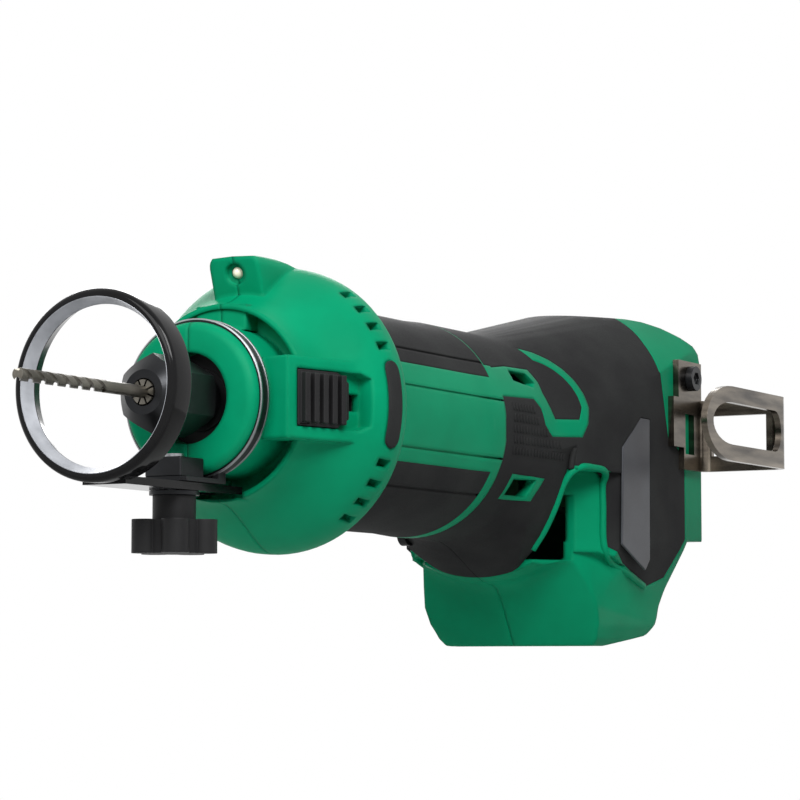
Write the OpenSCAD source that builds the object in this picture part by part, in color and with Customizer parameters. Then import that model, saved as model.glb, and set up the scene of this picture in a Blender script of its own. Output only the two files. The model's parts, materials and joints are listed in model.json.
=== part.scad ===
// Cordless drywall cut-out tool: moulded casing in two halves, brushless motor
// on the spindle axis, spiral bit in a collet, sliding depth guide on the nose.
// Shapes are drawn in the tool's frame: x runs back from the nose face, z up
// from the spindle axis. placed() sets them over the foot, where the origin is.

/* [Casing] */
// Height of the spindle axis above the foot
axis_z = 63; // [61:0.5:67]
// Distance from the middle of the foot forward to the nose face
nose_reach = 188; // [180:1:196]
// Radius of the nose tube that the clamp band grips
nose_r = 20.2; // [19.6:0.1:21]
// Radius of the opening in the nose face
nose_bore_r = 12; // [11.6:0.1:12.8]
// Radius of the bell's rim
bell_r = 39.2; // [38.4:0.1:41]
// Start of the bell's front lip
bell_front = 15.5; // [14.5:0.5:16.5]
// Inner radius of the bell's front lip
lip_r = 25; // [24.6:0.1:25.6]
// End of the bell's rear shoulder
bell_rear = 50; // [49:0.5:52]
// Radius of the barrel
barrel_r = 31.2; // [30.8:0.1:32]
// Where the barrel meets the neck
barrel_end = 117; // [115:0.5:120]
// Front of the rear block's bow
block_front = 166; // [163:0.5:169]
// Rear face of the block
block_rear = 247; // [244:0.5:252]
// Width of the rear block
block_w = 76; // [74:0.5:80]
// Height of the block's crown above the axis
crown_z = 42.9; // [42:0.1:44]
// Width of the block at its foot
foot_w = 59; // [56:0.5:62]
// Depth of the neck below the axis where it enters the block
neck_drop = 43; // [41:0.5:45]
// Thickness of the moulded wall
wall = 3.2; // [2.8:0.1:3.6]
// Thickness of the rubber let into the casing
grip_t = 1.6; // [1.2:0.1:1.8]

/* [Battery bay] */
// Width of the bay in the rear face
bay_w = 60; // [56:0.5:62]
// Depth of the bay
bay_depth = 11; // [9:0.5:12]
// Top end of the bay above the axis
bay_top = 18; // [14:0.5:20]
// Lower end of the guide rails below the axis
rail_end = 29; // [26:0.5:31]
// Thickness of each rail lip
rail_t = 3; // [2.5:0.1:3.5]
// Reach of each rail lip into the bay
rail_lip = 4; // [3:0.1:5]

/* [Motor] */
// Radius of the spindle at the front bearing
spindle_r = 6; // [5.6:0.1:6.3]
// Radius of the spindle at the rear bearing
journal_r = 4; // [3.5:0.1:4.4]
// Outer radius of the front bearing
front_bearing_r = 14; // [13.4:0.1:14.6]
// Width of the front bearing
front_bearing_w = 8; // [7:0.1:8.5]
// Outer radius of the rear bearing
rear_bearing_r = 11; // [10.5:0.1:11.5]
// Width of the rear bearing
rear_bearing_w = 7; // [6:0.1:8]
// Outer radius of the stator
stator_r = 26; // [25.4:0.1:26.4]
// Length of the stator core
stator_len = 40; // [36:0.5:42]
// Radius of the rotor
rotor_r = 12; // [11:0.1:12.6]
// Radius of the fan
fan_r = 19.5; // [18:0.1:20]

/* [Bit and collet] */
// Radius of the bit's shank, 1/8 inch across
bit_r = 1.59; // [1.5:0.01:1.7]
// Length of bit in front of the nut
bit_reach = 53.5; // [48:0.5:58]
// Length of the spiral flutes
flute_len = 36; // [30:0.5:40]
// Size of the collet nut across its flats
nut_af = 18; // [17:0.1:19]
// Length of the collet nut
nut_len = 20; // [18:0.1:21]

/* [Depth guide] */
// Outer radius of the guide ring
ring_r = 24.25; // [23.5:0.05:25]
// Thickness of the ring in the radial direction
ring_t = 3.75; // [3.2:0.05:4.2]
// Width of the ring along the axis
ring_w = 9; // [8:0.1:10]
// Distance of the ring's front face ahead of the nose
ring_ahead = 43; // [41:0.5:46]
// Width of the guide's arm
arm_w = 13; // [12:0.5:15]
// Thickness of the arm
arm_t = 2; // [1.6:0.1:2.2]
// Travel of the guide towards the bit's tip
guide_out = 15; // [10:0.5:15]
// Travel of the guide towards the casing
guide_in = 4; // [2:0.5:4]
// Width of the clamp band on the nose
band_w = 3.4; // [3:0.1:4]
// Thickness of the clamp band
band_t = 0.8; // [0.6:0.05:1]
// Radius of the clamp stud
stud_r = 2.5; // [2.3:0.05:2.7]
// Radius of the clamp knob over its lobes
knob_r = 11.4; // [10.6:0.1:12]
// Height of the clamp knob
knob_h = 8.7; // [8:0.1:10]

/* [Controls] */
// Distance of the switch face's front end from the middle plane
cheek_y = 26.8; // [26.4:0.1:27.2]
// Lean of the switch face, outwards to the rear, in degrees
cheek_tilt = 13.5; // [12:0.5:15]
// Height of the cheek that carries the switch
cheek_h = 21.5; // [20.5:0.5:23]
// Length of the switch slider
slider_len = 19; // [17:0.5:20]
// Height of the switch slider
slider_h = 14.6; // [13:0.2:15.4]
// Travel of the switch slider
slider_travel = 6; // [4:0.5:6]
// Radius of the lock button
button_r = 5.5; // [5:0.1:5.8]
// Travel of the lock button
button_travel = 3; // [2.5:0.1:3.2]

/* [Belt hook] */
// Width of the hook's strip
hook_w = 23; // [21:0.5:25]
// Thickness of the hook's strip
hook_t = 2; // [1.8:0.1:2.2]
// Free gap between the block's side and the hook's arm
hook_gap = 27; // [22:0.5:30]
// Length of the hook's free arm
hook_len = 66; // [60:0.5:70]

/* [Hidden] */
fine = 96;
seam = 0.05;
mate = 0.02;
run_fit = 0.05;
clear = 0.3;
steps = 10;

// places along the axis
recess_x = bell_front + 6.5;
rim_x = bell_rear - 7;
lip_t = 1.4;
bell_in = recess_x + wall;
front_bearing_x = 6;
lock_x = front_bearing_x + front_bearing_w + 6;
fan_x = bell_in + 2.5;
fan_w = 11;
stator_x = bell_rear + 3;
coil_over = 6;
bulkhead_x = stator_x + stator_len + coil_over + 3;
rear_bearing_x = bulkhead_x + 2.5;
bulkhead_end = rear_bearing_x + rear_bearing_w + 2.5;
bay_x = block_rear - bay_depth;
room_end = bay_x - wall - 2;

// neck, crown and bow
neck_from = barrel_end - 4;
rise_from = barrel_end + 36;
rise_end = block_rear + 10;
rise_r = crown_z + 10.4;
top_r = barrel_r + 0.5;
neck_hw = barrel_r + 0.3;
block_hw = block_w / 2;
neck_round = barrel_r + 0.6;
accent_x = barrel_end - 1.2;
accent_end = barrel_end + 3.5;
panel_top = 14;
panel_low = 13.5;
groove_w = 0.6;
groove_t = 0.4;
tongue = [36, 9];
neck_to = block_front + 6;
bow_from = block_front - 4;
panel_x = block_front + 17;
bow_to = block_front + 28;
bow_r = 70;
bow_hw = 19;
scoop_z = -10;
scoop_to = block_front + 27;
keel_z = -34.5;
keel_to = block_front + 56;
keel_hw = 18;
rear_round = 19;
foot_flat = block_front + 31;
foot_rise = 3.2;
heel_x = bay_x - 6.5;
taper_from = 20;
taper_to = axis_z - 7;

// nut, guide and clamp
nut_front = -0.5 - nut_len;
nut_corner = nut_af / 2 / cos(30);
tongue_top = -(nose_r + band_t + 0.1);
tongue_t = 1.2;
band_x = 2.8;
arm_top = tongue_top - tongue_t - clear / 2;
washer_top = arm_top - arm_t - clear / 2;
washer_t = 1;
knob_top = washer_top - washer_t;
knob_neck = 6.3;
stud_x = -5.9;
square_nut = 11;
square_nut_t = 5.2;

// switch face in its own frame: u back along the face, v out of it
cheek_x = band_x + band_w + 1.8;
cheek_len = 30;
recess_t = 2.2;
floor_t = 2.4;
slider_u = 2.3;
slider_nose = [4.3, 2.5];
recess_nose = [3.1, 1.3];
slider_t = 2.2;
recess_end = slider_u + slider_len + slider_travel + clear;
stem_len = 3.6;
stem_hw = 2;
stem_u = slider_u + slider_len - stem_len - 0.3;
stem_end = stem_u + stem_len + slider_travel;
switch_v = -recess_t - floor_t;
switch_t = 4;
switch_sunk = 0.6;
button_y = lip_r + 0.6;

// hook
hook_x1 = block_rear - 1;
hook_x0 = hook_x1 - 25;
hook_z0 = -6.5;
hook_y = block_hw + mate;
hook_arm_y = hook_y + hook_t + hook_gap;
hook_bend = 5;
hook_band = 5;
hook_nose = 20;
screw_z = hook_z0 + hook_w + 6.5;
hook_screw_x = hook_x0 + 13;
insert_r = 2;

// casing screws: place along the axis, height, and depth of the head
screw_r = 2;
post_r = 5.4;
head_r = 3.8;
head_h = 2.6;
screw_deep = 14;
screw_at = [
    [bell_rear - 9, bell_r - 11, 13],
    [bell_rear - 9, 11 - bell_r, 13],
    [bulkhead_x + 6, barrel_r - 9.5, 13],
    [bulkhead_x + 6, 9.5 - barrel_r, 13],
    [barrel_end + tongue[0] + 4, tongue[1] + 4, 20],
    [barrel_end + 30, 14 - neck_drop, 15],
    [block_rear - 26, crown_z - 10, 17],
    [block_front + 27, 15 - axis_z, 17],
    [heel_x - 14, 12 - axis_z, 17]
];

green = "#0c8a62";
rubber = "#2b2b2d";
steel = "#8d8f92";

// helpers
function ease(u) = u <= 0 ? 0 : u >= 1 ? 1 : u * u * (3 - 2 * u);
function blend(x, x0, x1, a, b) = a + (b - a) * ease((x - x0) / (x1 - x0));
function arc(c, r, a0, a1, n = 6) =
    [for (i = [0:n]) let (a = a0 + (a1 - a0) * i / n) c + r * [cos(a), sin(a)]];
function span(a, b, n = steps) = [for (i = [0:n]) a + (b - a) * i / n];
function flipped(p) = [for (i = [len(p) - 1:-1:0]) [p[i][0], -p[i][1]]];

module placed() {
    translate([-nose_reach, 0, axis_z]) children();
}

// a profile of [radius, x] points turned round the spindle axis
module turned(p) {
    rotate([0, 90, 0]) rotate_extrude($fn = fine) polygon(p);
}

module rod(x0, x1, r) {
    translate([x0, 0, 0]) rotate([0, 90, 0]) cylinder(r = r, h = x1 - x0, $fn = fine);
}

module cross_rod(x, z, y0, y1, r) {
    translate([x, y1, z]) rotate([90, 0, 0]) cylinder(r = r, h = y1 - y0, $fn = fine);
}

// an outline in the xz plane, extruded across the tool
module across(w = 200) {
    rotate([90, 0, 0]) linear_extrude(w, center = true) children();
}

// an outline in the yz plane, extruded along the tool
module lengthways(x0, x1) {
    translate([x0, 0, 0]) rotate([90, 0, 90]) linear_extrude(x1 - x0) children();
}

module box(x0, x1, y0, y1, z0, z1) {
    translate([x0, y0, z0]) cube([x1 - x0, y1 - y0, z1 - z0]);
}

module half(side) {
    y0 = side < 0 ? -120 : seam;
    box(-60, block_rear + 40, y0, y0 + 120 - seam, -120, 120);
}

// outer form of the casing, drawn inside itself by t: one revolve from the nose
// to the block, trimmed by the side view, the plan and the block's section
function body_r(x) =
    x < neck_to ? blend(x, barrel_end + 18, neck_to, neck_round, neck_drop + 1.2)
                : blend(x, neck_to, bow_to, neck_drop + 1.2, bow_r);
function dome(x) = blend(x, bell_front, rim_x, lip_r + lip_t, bell_r);
function belly(x) = blend(x, barrel_end + 17, block_front + 3, neck_round + 0.4, neck_drop);
function half_width(x) = blend(x, barrel_end + 25, block_front + 30, neck_hw, block_hw);
function hull_width(z) = blend(-z, taper_from, taper_to, block_hw + 1.5, foot_w / 2);
function neck_width(z) = (barrel_r + 1.2) * sqrt(1 - pow(-z / (neck_drop + 2), 1.5));
function scoop_width(x) = blend(x, bow_from, scoop_to, bow_hw, block_hw + 0.3);
function keel_width(x) =
    block_hw + 0.3 - (block_hw + 0.3 - keel_hw) * pow((keel_to - x) / (keel_to - bow_from), 2);

function body_profile(t) = concat(
    [[0, 0]],
    arc([nose_r - 2.5, 2.5], max(2.5 - t, 0.2), -90, 0),
    [[nose_r - t, recess_x], [lip_r, recess_x], [lip_r, bell_front]],
    [for (x = span(bell_front, rim_x)) [max(dome(x) - t, lip_r + 0.4), x]],
    arc([bell_r - 4, bell_rear - 4], 4 - t, 0, 90),
    [[barrel_r - t, bell_rear], [barrel_r - t, barrel_end - 12]],
    [for (x = span(barrel_end, neck_to)) [body_r(x) - t, x]],
    [for (x = span(neck_to + 3, bow_to)) [body_r(x) - t, x]],
    [[bow_r - t, block_rear + 5], [0, block_rear + 5]]
);

// upper half of the neck and crown: round about the axis, opening to the rear
function upper_profile(t) = [
    [0, -20], [90, -20], [90, neck_from], [top_r - t, neck_from], [top_r - t, rise_from],
    [rise_r - t, rise_end], [0, rise_end]
];

function side_view(t) = concat(
    [[-10, 90], [neck_from, 90], [neck_from, crown_z - t]],
    arc([block_rear - rear_round, crown_z - rear_round], rear_round - t, 90, 0),
    [[block_rear - t, t - rail_end], [bay_x - t, t - rail_end], [heel_x + 1 - t, 17 - axis_z]],
    arc([heel_x - 8, foot_rise + 8 - axis_z], 8 - t, 0, -80),
    [[foot_flat, t - axis_z]],
    arc([block_front + 13, 13 - axis_z], 13 - t, 270, 185),
    [[block_front + t, -neck_drop - 1]],
    [for (x = span(bow_from, neck_from)) [x, t - belly(x)]],
    [[neck_from, -90], [-10, -90]]
);

function plan_view(t) = concat(
    [[-10, 90], [neck_from, 90]],
    [for (x = span(neck_from, block_front + 30)) [x, half_width(x) - t]],
    [[block_rear + 10, block_hw - t]]
);

function block_section(t) = concat(
    arc([block_hw - 18, crown_z - 17], 19 - t, 80, 5),
    [for (z = span(-taper_from, -taper_to, 6)) [hull_width(z) - t, z]],
    arc([foot_w / 2 - 9, 6 - axis_z], 8 - t, -10, -80, 4)
);

function neck_section(t) = concat(
    [[90, 90], [90, 0], [neck_width(0) + 3 - t, 0]],
    [for (z = span(-6, -neck_drop - 1, 8)) [neck_width(z) - t, z]]
);

function both_sides(p) = concat(p, [for (i = [len(p) - 1:-1:0]) [-p[i][0], p[i][1]]]);

// corners outside the edge of the bow, cut away below the line top
module bow_corners(edge, top) {
    x0 = edge[0][0];
    x1 = edge[len(edge) - 1][0];
    intersection() {
        across() polygon(concat(top, [[keel_to + 1, -90], [bow_from - 5, -90]]));
        for (s = [0, 1]) mirror([0, s, 0]) linear_extrude(200, center = true)
            polygon(concat(edge, [[x1, 90], [x0, 90]]));
    }
}

module outer(t = 0) {
    edge = plan_view(t);
    bow_start = bow_from + 0.5 - t;
    difference() {
        intersection() {
            turned(body_profile(t));
            across() polygon(side_view(t));
            linear_extrude(200, center = true) polygon(concat(edge, flipped(edge)));
            union() {
                box(-20, rise_end + 1, -91, 91, -91, 0);
                turned(upper_profile(t));
            }
            union() {
                box(-10, neck_from + 1, -92, 92, -92, 92);
                lengthways(neck_from, block_front) polygon(both_sides(neck_section(t)));
                lengthways(bow_from + 1, block_rear + 12) polygon(both_sides(block_section(t)));
            }
        }
        bow_corners([for (x = span(bow_start, scoop_to)) [x, scoop_width(x) - t]],
            [[bow_from - 5, scoop_z + t], [scoop_to + 1, scoop_z + t]]);
        bow_corners([for (x = span(bow_start, keel_to)) [x, keel_width(x) - t]],
            [[bow_from - 5, keel_z + t], [panel_x - 2, keel_z + t], [keel_to + 1, keel_z - 11.5 + t]]);
    }
}

// overhanging boss on the bell that holds the work light, with a web down to the nose
boss_w = 15.5;
boss_round = 3.5;
boss_x = bell_front + 5.8;
boss_z = bell_r + 0.6;
boss_top = boss_z + 0.6;
boss_foot = [bell_front + 10.5, lip_r + 0.8];
module led_boss() {
    hw = boss_w / 2;
    corner = arc([hw - boss_round, boss_top - boss_round], boss_round, 90, 0);
    intersection() {
        across() polygon([[boss_x, boss_z], boss_foot, [bell_rear - 6, boss_foot[1]],
            [bell_rear - 6, bell_r - 0.6], [bell_rear - 17, boss_top]]);
        lengthways(boss_x - 1, bell_rear) polygon(both_sides(concat(corner, [[hw, lip_r]])));
    }
    box(bell_front + 0.6, recess_x + 1, -hw, hw, nose_r - 1, lip_r + 1);
}

// frame of the switch face on the left side
module at_cheek() {
    mirror([0, 1, 0]) translate([cheek_x, cheek_y, 0]) rotate([0, 0, cheek_tilt]) children();
}

module cheek() {
    at_cheek() box(-1.5, cheek_len, -10, 0, -cheek_h / 2, cheek_h / 2);
}

// block in the bell's recess that the lock button runs in
module button_pad() {
    box(bell_front - 1, bell_in + 1.8, 15, button_y, -8.5, 8.5);
}

module stator_ribs() {
    for (x = [stator_x + 3, stator_x + stator_len - 6])
        turned([[stator_r + mate, x], [barrel_r, x], [barrel_r, x + 3], [stator_r + mate, x + 3]]);
}

// shelves that carry the electronics tray
tray_x0 = block_front + 20;
tray_x1 = room_end - 6;
tray_hw = 24;
tray_z0 = -20;
tray_z1 = 4;
module tray_ribs() {
    for (x = [tray_x0 + 3, tray_x1 - 6], s = [-1, 1]) mirror([0, s < 0 ? 1 : 0, 0])
        box(x, x + 3, tray_hw + 0.1, 60, tray_z0 - 4, tray_z1 + 4);
}

// rooms inside the casing, cut round what stands in them
dome_t = wall + 1.5;
module rooms() {
    difference() {
        union() {
            turned(concat(
                [[0, bell_in]],
                [for (x = span(bell_in, rim_x, 6)) [dome(x) - dome_t, x]],
                [[bell_r - dome_t, bell_rear - 5], [barrel_r - wall, bell_rear],
                    [barrel_r - wall, bulkhead_x], [0, bulkhead_x]]
            ));
            intersection() {
                outer(wall);
                box(bulkhead_end, room_end, -100, 100, -100, 100);
            }
        }
        at_cheek() box(-2, cheek_len + 1, switch_v - switch_sunk, 30,
            -slider_h / 2 - wall, slider_h / 2 + wall);
        stator_ribs();
        tray_ribs();
        for (p = screw_at) cross_rod(p[0], p[1], -60, 60, post_r);
    }
}

module screw_cuts() {
    for (p = screw_at) {
        cross_rod(p[0], p[1], -screw_deep - 1, p[2] + 1, screw_r + mate);
        cross_rod(p[0], p[1], p[2], 60, head_r + 0.4);
    }
}

module bearing_seats() {
    rod(front_bearing_x, front_bearing_x + front_bearing_w, front_bearing_r + mate);
    rod(-1, front_bearing_x + 1, nose_bore_r);
    rod(front_bearing_x, bell_in + 1, spindle_r + 3);
    rod(rear_bearing_x, rear_bearing_x + rear_bearing_w, rear_bearing_r + mate);
    rod(bulkhead_x - 1, bulkhead_end + 1, journal_r + 3);
}

// outline from u0 to u1 and z to either side, with a tapered rear end
function nosed(u0, u1, z, taper) = [
    [u0, -z], [u1 - taper[0], -z], [u1, taper[1] - z],
    [u1, z - taper[1]], [u1 - taper[0], z], [u0, z]
];

module switch_pocket() {
    at_cheek() {
        across_at(-recess_t, 19, 0)
            polygon(nosed(slider_u - clear, recess_end, slider_h / 2 + clear, recess_nose));
        box(stem_u - clear, stem_end + clear, switch_v - 1, 1 - recess_t,
            -stem_hw - clear, stem_hw + clear);
        box(stem_u - 1, cheek_len + 0.5, switch_v - switch_t - clear, switch_v, -6.3, 6.3);
    }
}

module button_bore() {
    cross_rod(lock_x, 0, button_y, 60, button_r + 1.5);
    cross_rod(lock_x, 0, button_y - 4.2 - button_travel - clear, 60, button_r + clear);
    cross_rod(lock_x, 0, 0, 60, 2.5 + clear);
}

// outlines on the neck in side view, measured back from the barrel's end
upper_vent = [[14.5, 14.4], [14.5, 17.4], [25.7, 17.4], [28.6, 14.8], [26.5, 13.2]];
lower_vent = [[14.6, -14.5], [27, -14.3], [25, -19.2], [14, -19.2]];
lower_trim = [[12.4, -13.2], [32.4, -13.6], [28, -20.5], [12, -20.5]];
upper_trim = concat(
    [[3, 17.3], [3, 8.8], [24, 9.6], [27.5, 7], [29, 2.2], [33, -1.1], [49, -0.3], [51.8, 3.7]],
    arc(tongue, 17.6, 0, 85),
    arc(tongue, 14, 80, 0),
    [[47.7, 5], [36, 4.4], [33.8, 8], [31.6, 12], [31.6, 15.4], [29.2, 19], [13.3, 18.6]]
);
function shifted(p) = [for (q = p) q + [barrel_end, 0]];

rim_vents = [24, 33, 42, 51];
module vents() {
    for (s = [0, 180], m = [-1, 1], a = rim_vents)
        rotate([s + m * a, 0, 0])
            box(bell_rear - 11.4, bell_rear - 6.6, bell_r - wall - 7, 60, -1.2, 1.2);
    for (s = [-1, 1]) mirror([0, s < 0 ? 1 : 0, 0]) {
        across_at(16, 44, 0) polygon(shifted(upper_vent));
        across_at(16, 44, 0) polygon(shifted(lower_vent));
        box(block_front - 3, block_front + 9.5, 14, 60, -37, -17);
    }
}

module bay() {
    y = bay_w / 2;
    box(bay_x, block_rear + 1, rail_lip - y, y - rail_lip, -axis_z - 1, bay_top);
    box(bay_x, block_rear - rail_t, -y, y, -axis_z - 1, bay_top);
}

term_hw = 13;
term_z0 = -14;
term_z1 = 10;
module terminal_hole() {
    box(room_end - 1, bay_x + 1, -term_hw - mate, term_hw + mate, term_z0 - mate, term_z1 + mate);
}

// work light axis: square to the boss's sloping face
led_r = 1.7;
led_down = 4.6;
led_tilt = atan2(boss_z - boss_foot[1], boss_foot[0] - boss_x);
module at_led() {
    translate([boss_x + led_down / tan(led_tilt), 0, boss_z - led_down])
        rotate([0, 180 + led_tilt, 0]) children();
}

module led_hole() {
    at_led() {
        translate([0, 0, -1.2]) cylinder(r = led_r + 1.2, h = 6, $fn = fine);
        translate([0, 0, -5]) cylinder(r = led_r + mate, h = 5, $fn = fine);
        translate([-3.2, -3.2, -6]) cube([6.4, 6.4, 1.8]);
    }
}

// rubber bar in the rim, round at both ends
bar_x = bell_rear - 8.7;
bar_w = 5;
bar_hw = 11.7;
module bumper_band() {
    r = bar_w / 2;
    xs = span(bar_x - bar_w, bar_x + bar_w, 6);
    intersection() {
        turned(concat(
            [for (x = xs) [min(dome(x), bell_r) + 0.5, x]],
            [for (i = [6:-1:0]) [dome(xs[i]) - grip_t, xs[i]]]
        ));
        across() polygon(concat(
            arc([bar_x, bar_hw - r], r, 0, 180),
            arc([bar_x, r - bar_hw], r, 180, 360)
        ));
    }
}

// where the rubber lies, in side view
module barrel_pads_area() {
    box(bell_rear + 3, accent_x, -60, 60, panel_top, 60);
    box(bell_rear + 3, accent_x, -60, 60, -60, -panel_low);
}

module rear_grip_area() {
    difference() {
        across() polygon([
            [accent_end, -60], [block_front - 3, -60], [block_front - 3, 1 + scoop_z],
            [panel_x - 7, 1 + scoop_z], [panel_x - 2, scoop_z], [panel_x, scoop_z - 3],
            [panel_x, keel_z + 2], [panel_x + 10, keel_z - 3], [panel_x + 33, keel_z - 9.5],
            [panel_x + 44, keel_z - 6.5], [bay_x - 2.5, -rail_end], [bay_x - 2.5, -2],
            [bay_x - 15, 3], [bay_x - 21, 24], [bay_x - 17.5, 33], [bay_x - 10, 46],
            [bay_x - 10, 60], [accent_x + 0.6, 60], [accent_x + 0.6, 17.8], [accent_end, 17.8]
        ]);
        across() polygon(shifted(upper_trim));
        across() polygon(shifted(lower_trim));
    }
}

// fine grooves that frame the green panel on the barrel's sides
module panel_grooves() {
    difference() {
        for (z = [7.5, -9.5])
            box(bell_rear - 0.5, accent_end, -60, 60, z - groove_w / 2, z + groove_w / 2);
        rod(0, 200, barrel_r - groove_t);
    }
}

module rubber_area() {
    barrel_pads_area();
    rear_grip_area();
}

module plate_area() {
    across() polygon([
        [block_front + 20, -32], [block_front + 37, -39.5], [block_front + 40.5, -36],
        [block_front + 41, 8], [block_front + 34, 8], [block_front + 21, -2]
    ]);
}

module side_plate_pair(t0, t1) {
    intersection() {
        plate_area();
        for (s = [-1, 1]) mirror([0, s < 0 ? 1 : 0, 0])
            box(block_front, block_rear, block_hw - t0, block_hw + t1, -60, 60);
    }
}

module casing() {
    difference() {
        union() {
            outer();
            led_boss();
            cheek();
            button_pad();
        }
        rooms();
        bearing_seats();
        switch_pocket();
        arm_notch();
        vents();
        bay();
        terminal_hole();
        led_hole();
        bumper_band();
        screw_cuts();
        hook_insert_holes();
        panel_grooves();
        difference() {
            rubber_area();
            outer(grip_t);
        }
    }
}

// gap in the bell's lip that the guide's arm runs into
module arm_notch() {
    box(bell_front - 2, recess_x, -arm_w / 2 - 0.8, arm_w / 2 + 0.8, arm_top - arm_t - 1, -nose_r - 0.8);
}

module hook_insert_holes() {
    for (s = [0, 1]) mirror([0, s, 0])
        cross_rod(hook_screw_x, screw_z, block_hw - 10, block_hw + 1, insert_r);
}

module left_housing() {
    color(green) intersection() {
        casing();
        half(-1);
    }
}

module right_housing() {
    color(green) intersection() {
        difference() {
            casing();
            button_bore();
        }
        half(1);
    }
}

module barrel_grip(side) {
    color(rubber) difference() {
        intersection() {
            outer();
            barrel_pads_area();
            half(side);
        }
        outer(grip_t);
        screw_cuts();
    }
}

module left_barrel_grip() {
    barrel_grip(-1);
}

module right_barrel_grip() {
    barrel_grip(1);
}

module rear_grip(side) {
    color(rubber) difference() {
        intersection() {
            outer();
            rear_grip_area();
            half(side);
        }
        outer(grip_t);
        screw_cuts();
        vents();
        side_plate_pair(0.8, 1);
    }
}

module left_rear_grip() {
    rear_grip(-1);
}

module right_rear_grip() {
    rear_grip(1);
}

module side_plates() {
    color("#3a3c42") side_plate_pair(0.8, 0);
}

module rim_bumpers() {
    color(rubber) bumper_band();
}

module housing_screws() {
    color(steel) for (p = screw_at) {
        cross_rod(p[0], p[1], -screw_deep, p[2], screw_r);
        difference() {
            cross_rod(p[0], p[1], p[2], p[2] + head_h, head_r);
            translate([p[0], p[2] + 1, p[1]]) rotate([-90, 0, 0]) cylinder(r = 2, h = 3, $fn = 6);
        }
    }
}

module ball_bearing(x, w, ro, ri) {
    groove = (ro - ri) * 0.28;
    turned([
        [ri, x], [ri + groove, x], [ri + groove, x + 0.6], [ro - groove, x + 0.6],
        [ro - groove, x], [ro, x], [ro, x + w], [ro - groove, x + w],
        [ro - groove, x + w - 0.6], [ri + groove, x + w - 0.6], [ri + groove, x + w], [ri, x + w]
    ]);
}

module front_bearing() {
    color(steel) ball_bearing(front_bearing_x, front_bearing_w, front_bearing_r, spindle_r + run_fit);
}

module rear_bearing() {
    color(steel) ball_bearing(rear_bearing_x, rear_bearing_w, rear_bearing_r, journal_r + run_fit);
}

teeth = 6;
tooth_w = 6;
yoke = 6;
module stator_core() {
    color("#6f7275") difference() {
        union() {
            turned([[stator_r - yoke, stator_x], [stator_r, stator_x], [stator_r, stator_x + stator_len],
                [stator_r - yoke, stator_x + stator_len]]);
            for (i = [0:teeth - 1]) rotate([i * 360 / teeth, 0, 0])
                box(stator_x, stator_x + stator_len, rotor_r, stator_r - yoke + 1,
                    -tooth_w / 2, tooth_w / 2);
        }
        rod(stator_x - 1, stator_x + stator_len + 1, rotor_r + 0.6);
    }
}

module stator_windings() {
    r0 = rotor_r + 1.8;
    hw = tooth_w / 2 + 3.4;
    r1 = sqrt(pow(stator_r - yoke, 2) - hw * hw) - 0.3;
    color("#b06a32") for (i = [0:teeth - 1]) rotate([i * 360 / teeth, 0, 0]) difference() {
        box(stator_x - coil_over, stator_x + stator_len + coil_over, r0, r1, -hw, hw);
        box(stator_x - 0.1, stator_x + stator_len + 0.1, r0 - 1, r1 + 1,
            -tooth_w / 2 - 0.1, tooth_w / 2 + 0.1);
    }
}

tray_wall = 2;
tray_deep = 5;
fin_gap = 2.5;
fin_pitch = 5;
fin_h = 6;
cap_r = 5;
cap_h = 12;
chip = [4, 8, 11];
module control_module() {
    in_hw = tray_hw - tray_wall;
    seat = tray_z1 - tray_deep;
    chip_x = tray_x0 + tray_wall + 4 * cap_r;
    color("#4a4f55") {
        difference() {
            box(tray_x0, tray_x1, -tray_hw, tray_hw, tray_z0, tray_z1);
            box(tray_x0 + tray_wall, tray_x1 - tray_wall, -in_hw, in_hw, seat, tray_z1 + 1);
            for (x = [tray_x0 + 3:fin_pitch:tray_x1 - 5])
                box(x, x + fin_gap, -tray_hw - 1, tray_hw + 1, tray_z0 - 1, tray_z0 + fin_h);
        }
        for (i = [-1:1]) translate([tray_x0 + tray_wall + 2 * cap_r, i * cap_h, seat - 0.2])
            cylinder(r = cap_r, h = cap_h, $fn = fine);
        for (i = [-1.5:1.5])
            translate([chip_x, i * (chip[1] + 2) - chip[1] / 2, seat - 0.2]) cube(chip);
    }
}

term_pitch = 4.5;
term_slot = 1.2;
blade_t = 0.8;
module battery_terminals() {
    ys = [for (i = [-2:2]) i * term_pitch];
    z0 = term_z0 + 4;
    z1 = term_z1 - 3;
    color("#2f3236") difference() {
        box(room_end - 4, bay_x + 3, -term_hw, term_hw, term_z0, term_z1);
        for (y = ys) box(bay_x - 6, bay_x + 4, y - term_slot, y + term_slot, z0, z1);
    }
    color("#b98b4a") for (y = ys)
        box(bay_x - 7, bay_x + 6, y - blade_t / 2, y + blade_t / 2, z0 + 2, z1 - 2);
}

module switch_body() {
    v1 = switch_v - mate;
    color("#202124") at_cheek() difference() {
        box(stem_u - 0.7, cheek_len, v1 - switch_t, v1, -6, 6);
        box(stem_u - clear, stem_end + clear, v1 - 2.6, v1 + 1, -stem_hw - clear, stem_hw + clear);
    }
}

module led_lens() {
    color("#efe9c8") at_led() {
        translate([0, 0, -4.4]) cylinder(r = led_r, h = 2.4, $fn = fine);
        translate([0, 0, -2]) difference() {
            sphere(r = led_r, $fn = fine);
            translate([-3, -3, -6]) cube([6, 6, 6]);
        }
    }
}

module led_board() {
    color("#2e6b3e") at_led() translate([-3, -3, -5.8]) cube([6, 6, 1.4]);
}

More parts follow.
